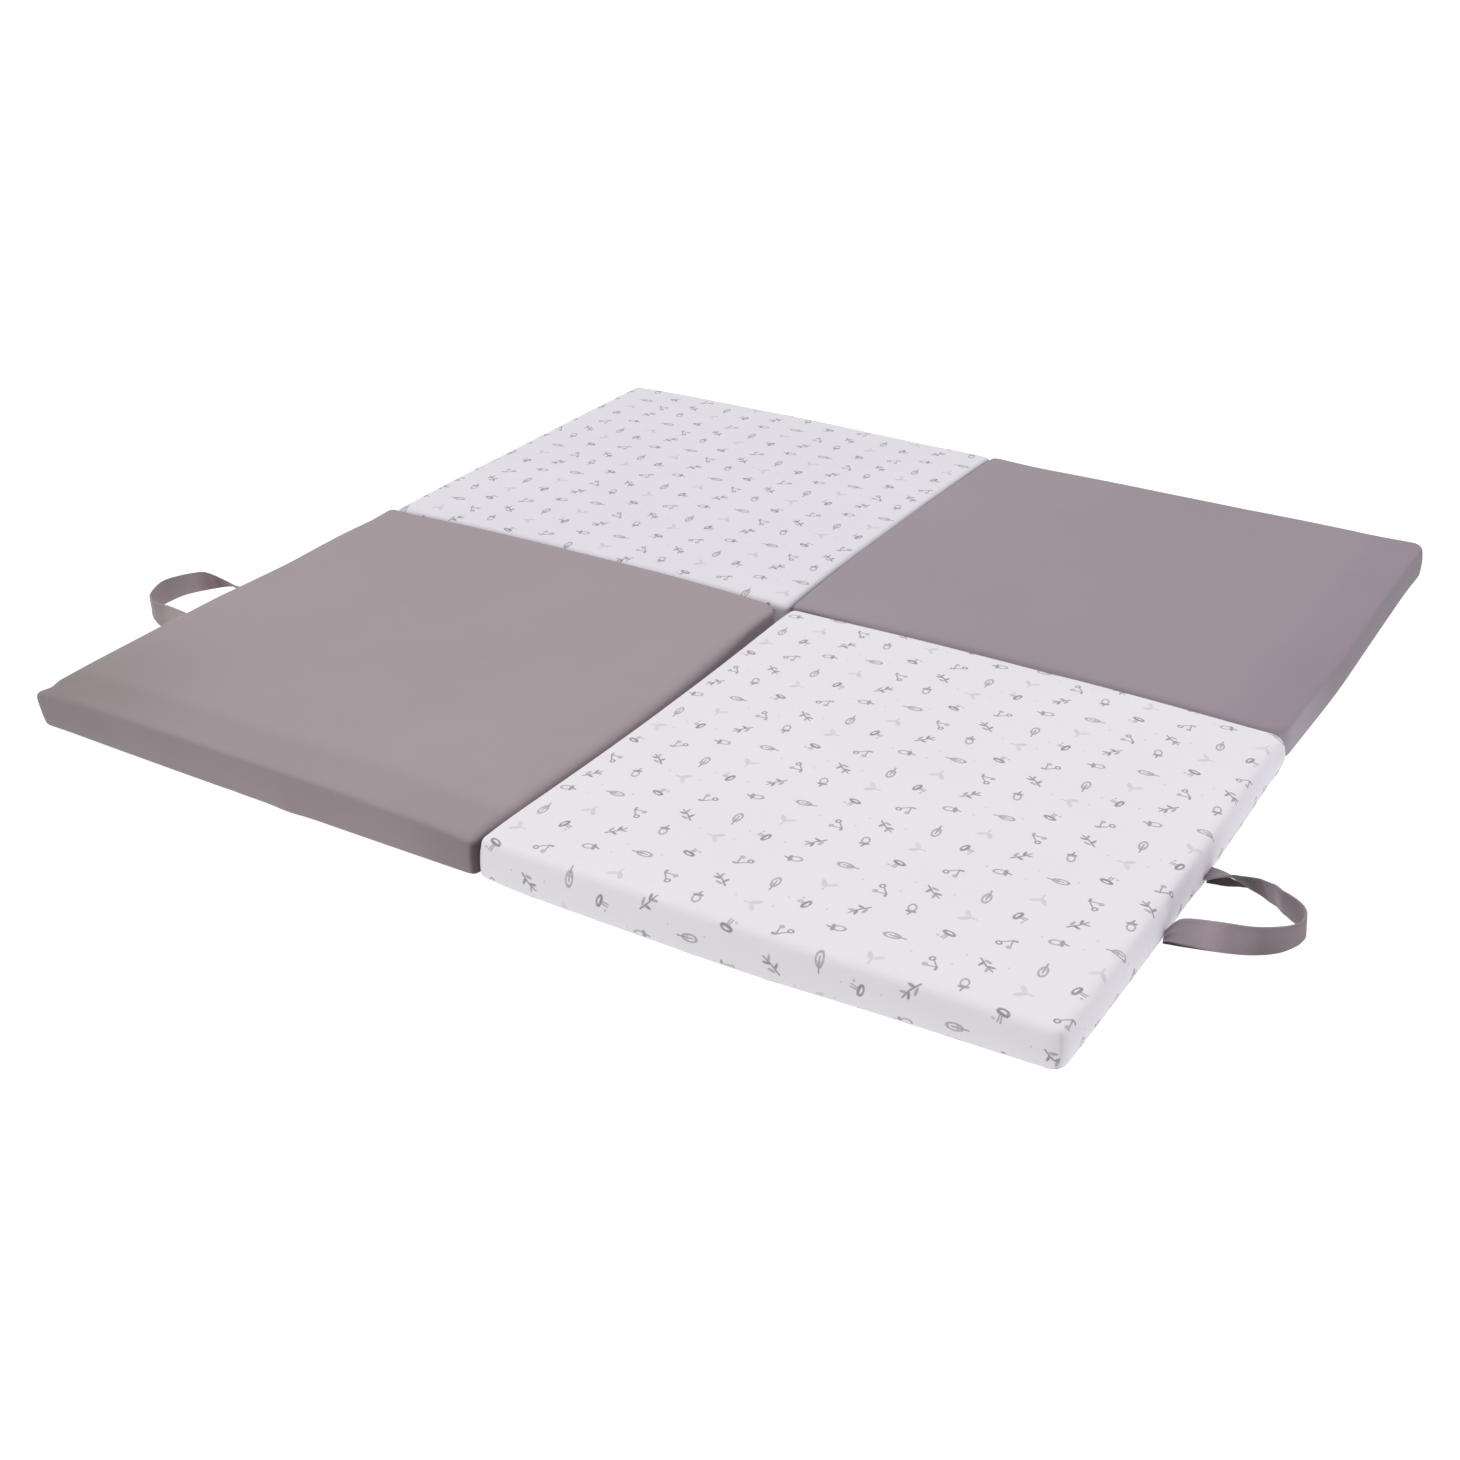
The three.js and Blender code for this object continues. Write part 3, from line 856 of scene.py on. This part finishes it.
# the filling pushes the cover outwards: free on the outer sides, held underneath and beside a neighbour
def fillCover(piece, pad):
    fill = matSize["fill"]
    mesh = piece.data
    heldGroup = piece.vertex_groups.new(name="held")
    for vert in mesh.vertices:
        free = freeShare(vert.normal, pad)
        side = smoothStep((0.7 - vert.normal.z) / 0.5)
        weight = mix(fill["topHold"], 1 - fill["sideFree"] * free, side)
        if vert.co.z < fill["ground"] * mm or vert.normal.z < -0.5:
            weight = 1.0
        heldGroup.add([vert.index], weight, "REPLACE")
    cloth = piece.modifiers.new("filling", "CLOTH")
    cloth.settings.quality = fill["quality"]
    cloth.settings.mass = fill["mass"]
    cloth.settings.tension_stiffness = fill["stretch"]
    cloth.settings.compression_stiffness = fill["stretch"]
    cloth.settings.shear_stiffness = fill["shear"]
    cloth.settings.bending_stiffness = fill["bend"]
    cloth.settings.use_pressure = True
    cloth.settings.uniform_pressure_force = fill["pressure"]
    cloth.settings.effector_weights.gravity = 0
    cloth.settings.vertex_group_mass = "held"
    cloth.point_cache.frame_start = 1
    cloth.point_cache.frame_end = fill["frames"]
    for frame in range(1, fill["frames"] + 1):
        scene.frame_set(frame)
    start = [vert.co.copy() for vert in mesh.vertices]
    applied(piece)
    piece.vertex_groups.clear()
    moved = 0.0
    for vert, before in zip(piece.data.vertices, start):
        move = vert.co - before
        if move.length > fill["cap"] * mm:
            move *= fill["cap"] * mm / move.length
        moved = max(moved, move.length)
        vert.co = before + move
    scene.frame_set(1)
    print("  the filling moved the cover by up to", round(moved / mm, 2), "mm")


def distanceTo(start, end, x, y):
    lineX, lineY = end[0] - start[0], end[1] - start[1]
    share = held(((x - start[0]) * lineX + (y - start[1]) * lineY) / (lineX ** 2 + lineY ** 2), 0, 1)
    return math.hypot(x - start[0] - lineX * share, y - start[1] - lineY * share)


# what the hand does to a filled cover: pinched corners, faint creases, an uneven filling, a drawn-in seam
def shapeCover(piece, pad):
    mesh = piece.data
    seams = mesh.attributes["seam"].data
    tugs = [(Vector(place), reach, Vector(move)) for place, reach, move in pad["tugs"]]
    places = []
    for vert, fold in zip(mesh.vertices, seams):
        place = vert.co / mm
        normal = vert.normal
        move = Vector((0, 0, 0))
        for centre, reach, pull in tugs:
            away = (place - centre).length / reach
            if away < matSize["tugRange"]:
                move += pull * math.exp(-away * away)
        move.z *= smoothStep(place.z / 24)
        up = max(normal.z, 0)
        if up > 0.3:
            for start, end, width, height in pad["creases"]:
                away = distanceTo(start, end, place.x, place.y) / width
                if away < matSize["tugRange"]:
                    move.z += height * math.exp(-away * away)
        wave = sum(
            high * noise.noise(Vector((place.x / wide, place.y / wide, place.z / wide + pad["seed"])))
            for wide, high in matSize["waves"]
        )
        clear = smoothStep((place.z - 3) / 10)
        free = freeShare(normal, pad)
        level = Vector((normal.x, normal.y, 0))
        move.z += wave * up * clear
        move += level * (wave * free * clear)
        move -= level * (matSize["seamDepth"] * fold.value ** 2 * max(2 * free - 1, 0) * clear)
        places.append(vert.co + move * mm)
    for vert, place in zip(mesh.vertices, places):
        vert.co = place
    mesh.update()


def dimmed(tint, dim, share):
    return [value * mix(1, part, share) for value, part in zip(tint, dim)]


# the cover's colour multiplier: corner tints, darker bands, shades, painted light and shade on each side,
# painted shade in the gaps, a darker drawn-in seam
def paintCoverToneAndLight(piece, pad):
    mesh = piece.data
    seams = mesh.attributes["seam"].data
    tints = []
    for vert, fold in zip(mesh.vertices, seams):
        x, y = vert.co.x / mm, vert.co.y / mm
        u, v = placeIn(pad, x, y)
        gaps = {"left": x - pad["left"], "right": pad["right"] - x, "front": y - pad["front"]}
        top = [atCorners([tint[channel] for tint in pad["tint"]], u, v) for channel in range(3)]
        for side, wide, soft, tint in pad["bands"]:
            near = smoothStep((wide - gaps[side]) / soft + 0.5)
            top = dimmed(top, tint, near)
        for (shadeX, shadeY), reach, tint in pad["shades"]:
            near = math.exp(-((x - shadeX) ** 2 + (y - shadeY) ** 2) / reach ** 2)
            top = dimmed(top, tint, near)
        # painted light and shade on the sides, by how far each point faces front, right, back or left
        shares = sideShares(vert.normal)
        side = smoothStep((0.8 - vert.normal.z) / 0.55)
        sides = [alongSide(tint, place) for tint, place in zip(pad["paintedSideLight"], (u, v, u, v))]
        beside = [sum(share * tint[channel] for share, tint in zip(shares, sides)) for channel in range(3)]
        free = freeShare(vert.normal, pad)
        dark = 1 - matSize["seamDark"] * fold.value ** 2 * side * max(2 * free - 1, 0)
        tints.append([value * dark for value in dimmed(top, beside, side)])
    writeToneAndPaintedLight(mesh, tints)
    mesh.attributes.remove(mesh.attributes["seam"])


for pad in pads:
    piece = makeCover(pad)
    fillCover(piece, pad)
    smooth = piece.modifiers.new("smooth", "SUBSURF")
    smooth.levels = 1
    smooth.render_levels = 1
    applied(piece)
    shapeCover(piece, pad)
    paintCoverToneAndLight(piece, pad)
    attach(piece, "root")
    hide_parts(pad["node"])
    print(pad["name"], "is covered")


# the carry straps: each station gives the lower edge and the upper edge,
# both as out from the mat, along it and up

strapSize = {
    "halfWidth": 16, "bandThick": 2.4, "seat": 0.9, "cellsAlong": 170, "cellsAcross": 24,
    "rim": 0.1, "rimSoft": 0.5,      # how much of the half width the rim rounds, and by how much
    "stitchIn": 3.2, "stitchLong": 2.3, "stitchPitch": 3.6, "stitchThick": 0.7,
    "groove": 0.25, "grooveWide": 0.9, "gather": 0.7, "waver": 0.5,
    "rootLong": 0.09,                # share of the length over which a root is gathered
    "upperShine": 0.5,               # how strong the painted highlight on the upper rim is
    "footRise": 0.62, "footFade": 1.6, "footSoft": 0.15,  # where the painted shadow darkens the lower edge beside the mat
    # the rim tint is a painted highlight, the root tint painted shade near the mat, the foot tint a painted
    # shadow
    "paintedRimHighlight": (1.3, 1.32, 1.32), "paintedRootShade": (0.8, 0.78, 0.8), "paintedFootShadow": (0.25, 0.24, 0.25),
}

straps = [
    {
        "name": "strapLeft", "node": "strap_left", "pad": "coverFrontLeft",
        "side": -1, "seed": 5.3, "thick": strapSize["bandThick"],
        # painted light and shade along the strap: lighter where it is lit, darker where it turns away from
        # the light
        "tint": [(0.0, (1.85, 1.82, 1.74)), (0.07, (1.78, 1.76, 1.69)), (0.15, (1.42, 1.42, 1.38)),
                 (0.24, (1.16, 1.12, 1.1)), (0.38, (1.42, 1.38, 1.4)), (0.62, (1.38, 1.33, 1.34)),
                 (0.7, (0.92, 0.83, 0.83)), (0.74, (0.52, 0.44, 0.46)), (0.79, (0.6, 0.51, 0.53)),
                 (0.84, (1.3, 1.26, 1.26))],
        # how strong the painted highlight on the lower rim is, along the strap
        "rimShine": [(0.0, 0.6), (0.7, 0.6), (0.78, 1.8), (1.0, 1.8)], "shadow": 0.0,
        "stations": [
            (0, -360, 1.7, 0, -358, 28.5), (22, -360, 1.7, 23, -357.5, 32.5),
            (45.5, -358.5, 1.7, 48, -355.7, 33.5),
            (67.3, -354.8, 1.7, 66.6, -355.8, 33.8), (86.5, -345.7, 1.7, 81, -351.7, 32.8),
            (99.9, -336.5, 1.7, 93.6, -342.2, 32.6), (107, -328.3, 1.7, 100.8, -330.9, 33.1),
            (110, -316.6, 1.7, 107.5, -313.8, 33.6), (111.5, -297.5, 1.7, 108.8, -299.5, 33.6),
            (110.3, -275.7, 1.7, 105, -282.5, 32.6), (104.3, -259.4, 1.7, 98.2, -268.5, 32.1),
            (96.6, -245.5, 1.7, 90.2, -256.5, 31.3), (88.2, -237.5, 3, 79.4, -252.8, 29),
            (78, -233.8, 6, 65.2, -253, 26.6), (67.1, -233, 9, 52.1, -253.6, 24.4),
            (57, -235, 11, 40, -255.6, 23), (42, -237, 12, 27, -257.7, 20.5),
            (20, -237.5, 12, 13, -261, 17), (0, -237, 12, 0, -262, 14.5),
        ],
        # each ripple: place from 0 to 1, length, height
        "ripples": [],
    },
    {
        "name": "strapRight", "node": "strap_right", "pad": "coverFrontRight",
        "side": 1, "seed": 8.9, "thick": strapSize["bandThick"],
        # painted light and shade along the strap: lighter where it is lit, darker where it turns away from
        # the light
        "tint": [(0.0, (1.4, 1.35, 1.44)), (0.07, (1.53, 1.47, 1.57)), (0.16, (1.85, 1.76, 1.88)),
                 (0.24, (1.3, 1.25, 1.34)), (0.34, (0.96, 0.94, 0.97)), (0.45, (1.05, 1.02, 1.05)),
                 (0.6, (0.97, 0.93, 0.96)), (0.68, (0.92, 0.89, 0.92)), (0.72, (1.22, 1.18, 1.22)),
                 (0.757, (0.9, 0.86, 0.91)), (0.79, (0.46, 0.44, 0.46)), (0.83, (0.26, 0.25, 0.26)),
                 (0.88, (0.3, 0.29, 0.3)), (0.91, (0.85, 0.87, 0.9))],
        # how strong the painted highlight on the lower rim is, along the strap
        "rimShine": [(0.76, 0.6), (0.8, 4.5), (0.9, 4.5), (0.94, 0.6)], "shadow": 1.0,
        "stations": [
            (0, -374.6, 1.7, 0, -374, 14.5), (5.8, -373.3, 1.7, 8.2, -371.5, 26.5),
            (18.2, -370.5, 1.7, 18.4, -370.1, 32.8), (46.1, -363.1, 1.7, 45.6, -362.3, 33.8),
            (75.2, -351.9, 1.7, 75.5, -353.5, 33.8), (95.7, -335.5, 1.7, 96, -339.1, 32.6),
            (106.7, -316.7, 1.7, 106.9, -325, 31.7), (109.6, -304.6, 1.7, 109.4, -313.3, 31.6),
            (109.2, -295.6, 1.7, 108.4, -303.3, 31.8), (105.4, -288.9, 1.7, 104.3, -295, 32.2),
            (99.1, -282.6, 1.7, 97, -288.2, 32.5), (89.3, -275.3, 1.7, 86, -281.5, 32.2),
            (75.6, -263.8, 1.7, 69.5, -271.5, 31), (63.3, -254.6, 1.7, 55.5, -266, 30),
            (51.6, -248, 1.7, 42.5, -264.8, 27.8), (42.4, -244.8, 2.5, 34.5, -265.4, 26.4),
            (32.9, -243.3, 5.5, 29, -267.2, 26.2), (23.4, -242.3, 8.5, 24, -269.2, 25.2),
            (15.1, -241.9, 11, 17.1, -270.1, 22.6), (7.8, -242.2, 12.5, 10.1, -270.7, 19.2),
            (3.3, -242.4, 12.5, 5, -270.4, 16), (0, -242.4, 12.5, 0, -270.2, 14.5),
        ],
        "ripples": [(0.69, 0.016, 0.6), (0.73, 0.014, -0.6), (0.77, 0.016, 0.5)],
        # the second layer of the band, which hangs from the lifted edge down to the floor, painted dark as
        # the shade beneath the lifted strap
        "paintedShadeLining": {
            "name": "strapRightShadeLining", "thick": 0.8, "seed": 3.1, "ripples": [],
            # painted shade: the strip is dark as the shade under the lifted strap
            "tint": [(0.0, (0.14, 0.13, 0.14)), (0.5, (0.28, 0.27, 0.29)), (1.0, (0.34, 0.33, 0.34))],
            "rimShine": [(0.0, 0.0), (1.0, 0.0)], "shadow": 0.0,
            "stations": [
                (0, -253.3, 0.7, 0, -252.5, 10.5), (8.3, -251.5, 0.7, 8.3, -250.7, 12),
                (17.6, -249.6, 0.7, 17.6, -248.6, 11.3), (27.1, -245.1, 0.7, 27.1, -244.4, 6.8),
                (35.9, -241.7, 0.7, 35.9, -241.9, 3.4), (41, -240.6, 0.7, 41, -241.2, 1.5),
            ],
        },
    },
]


# smooth curve through the stations, at a place from 0 to 1
def alongStations(rows, at):
    spot = held(at, 0, 1) * (len(rows) - 1)
    index = min(int(spot), len(rows) - 2)
    share = spot - index
    before = rows[max(index - 1, 0)]
    start, end = rows[index], rows[index + 1]
    after = rows[min(index + 2, len(rows) - 1)]
    result = []
    for p0, p1, p2, p3 in zip(before, start, end, after):
        result.append(0.5 * (2 * p1 + (p2 - p0) * share + (2 * p0 - 5 * p1 + 4 * p2 - p3) * share ** 2
                             + (3 * p1 - p0 - 3 * p2 + p3) * share ** 3))
    return result


# lower and upper edge of a strap
def strapEdges(strap, pad, at):
    row = alongStations(strap["stations"], at)
    side = strap["side"]
    straight = pad["right"] if side > 0 else pad["left"]
    return [
        Vector((drawnPlace(pad, straight, along)[0] + side * (out + strapSize["seat"]), along, up))
        for out, along, up in (row[:3], row[3:])
    ]


# where equal steps along a strap lie between its stations, and how long the strap is
def evenPlaces(strap, pad, count):
    fine = 600
    middles = [sum(strapEdges(strap, pad, step / fine), Vector()) / 2 for step in range(fine + 1)]
    travelled = [0.0]
    for before, after in zip(middles, middles[1:]):
        travelled.append(travelled[-1] + (after - before).length)
    length = travelled[-1]
    places = []
    step = 0
    for index in range(count + 1):
        goal = length * index / count
        while step < fine - 1 and travelled[step + 1] < goal:
            step += 1
        share = (goal - travelled[step]) / (travelled[step + 1] - travelled[step])
        places.append((step + share) / fine)
    return places, length


def rootShare(part):
    return smoothStep(1 - min(part, 1 - part) / strapSize["rootLong"])


# a point of the strap: at is its place between the stations, part its share of the length, face its side
def strapPoint(strap, pad, at, part, across, face):
    lower, upper = strapEdges(strap, pad, at)
    ahead = strapEdges(strap, pad, min(at + 0.004, 1))
    behind = strapEdges(strap, pad, max(at - 0.004, 0))
    share = (across + 1) / 2
    forward = ahead[0].lerp(ahead[1], share) - behind[0].lerp(behind[1], share)
    outward = (upper - lower).cross(forward).normalized()
    rim = held((abs(across) - 1 + strapSize["rim"]) / strapSize["rim"], 0, 1)
    line = (1 - abs(across)) * (upper - lower).length / 2 - strapSize["stitchIn"]
    thick = strap["thick"] / 2 * (1 - strapSize["rimSoft"] * rim * rim)
    groove = strapSize["groove"] * strap["thick"] / strapSize["bandThick"]
    thick -= groove * math.exp(-(line / strapSize["grooveWide"]) ** 2)
    ripple = strapSize["gather"] * rootShare(part) * math.cos(across * 2.6 * math.pi)
    ripple += strapSize["waver"] * noise.noise(Vector((part * 9, across * 0.8, strap["seed"])))
    for place, wide, high in strap["ripples"]:
        ripple += high * math.exp(-((part + across * 0.008 - place) / wide) ** 2)
    return lower.lerp(upper, share) + outward * (face * thick + ripple)


# the strap's colour multiplier: painted light and shade along it, painted shade at the roots, a painted
# highlight on the rims, a painted shadow along the foot
def strapTintAndPaintedLight(strap, part, across):
    edge = smoothStep((abs(across) - 0.9) / 0.08)
    # random lighter and darker stretches along the strap: painted sheen
    band = 1 + 0.1 * noise.noise(Vector((part * 9, across * 0.7, strap["seed"] + 4)))
    # painted shade near the roots, where the strap meets the mat
    tint = mixTint(alongSide(strap["tint"], part), strapSize["paintedRootShade"], rootShare(part) * 0.4)
    shine = alongSide(strap["rimShine"], part) if across < 0 else strapSize["upperShine"]
    tint = mixTint(tint, strapSize["paintedRimHighlight"], edge * shine)
    foot = -strapSize["footRise"] - across - strapSize["footFade"] * part
    foot = smoothStep(foot / strapSize["footSoft"])
    tint = mixTint(tint, strapSize["paintedFootShadow"], foot * strap["shadow"])
    return [value * band for value in tint]


def makeStrap(strap, pad):
    places, length = evenPlaces(strap, pad, strapSize["cellsAlong"])
    bm = bmesh.new()
    makeBlock(bm, strapSize["cellsAlong"], strapSize["cellsAcross"], 1)
    flat = bm.loops.layers.uv.new("cloth")
    tints = []
    for face in bm.faces:
        face.smooth = True
        shift = 0.05 if face.normal.z < -0.5 else 0
        for corner in face.loops:
            part, across = (corner.vert.co.x + 1) / 2, corner.vert.co.y
            corner[flat].uv = (part * length * mm, across * strapSize["halfWidth"] * mm + shift)
    for vert in bm.verts:
        part, across = (vert.co.x + 1) / 2, vert.co.y
        at = places[round(part * strapSize["cellsAlong"])]
        tints.append(strapTintAndPaintedLight(strap, part, across))
        vert.co = strapPoint(strap, pad, at, part, across, vert.co.z) * mm
    bmesh.ops.recalc_face_normals(bm, faces=bm.faces)
    piece = finished(bm, strap["name"], "strap")
    writeToneAndPaintedLight(piece.data, tints)
    print(strap["name"], "is", round(length), "mm long")
    return piece, length


# small stitches along both edges, on both faces
def sewStrap(strap, pad, length):
    bm = bmesh.new()
    flat = bm.loops.layers.uv.new("cloth")
    count = int(length / strapSize["stitchPitch"])
    places = evenPlaces(strap, pad, count)[0]
    for index in range(2, count - 1):
        lower, upper = strapEdges(strap, pad, places[index])
        forward = sum(strapEdges(strap, pad, places[index + 1]), Vector())
        forward = (forward - lower - upper).normalized()
        width = (upper - lower).length
        outward = (upper - lower).cross(forward).normalized()
        upward = forward.cross(outward)
        turned = Matrix((forward, upward, outward)).transposed()
        turned = turned @ Matrix.Diagonal((strapSize["stitchLong"] / 2, strapSize["stitchThick"] / 2,
                                           strapSize["stitchThick"] / 3))
        across = 1 - strapSize["stitchIn"] / (width / 2)
        for edge in (-1, 1):
            for face in (-1, 1):
                place = strapPoint(strap, pad, places[index], index / count, edge * across, face)
                matrix = Matrix.Translation(place * mm) @ (turned * mm).to_4x4()
                bmesh.ops.create_icosphere(bm, subdivisions=1, radius=1, matrix=matrix)
    for face in bm.faces:
        face.smooth = True
        for corner in face.loops:
            corner[flat].uv = (corner.vert.co.y, corner.vert.co.z)
    bmesh.ops.recalc_face_normals(bm, faces=bm.faces)
    piece = finished(bm, strap["name"] + "Stitches", "thread")
    # the stitches take the strap's tint at one place, painted light included
    writeToneAndPaintedLight(piece.data, [alongSide(strap["tint"], 0.4)] * len(piece.data.vertices))
    return piece


for strap in straps:
    pad = next(one for one in pads if one["name"] == strap["pad"])
    piece, length = makeStrap(strap, pad)
    extras = [sewStrap(strap, pad, length)]
    if "paintedShadeLining" in strap:
        extras.append(makeStrap({**strap, **strap["paintedShadeLining"]}, pad)[0])
    for made in (piece, *extras):
        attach(made, "root")
    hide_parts(strap["node"])
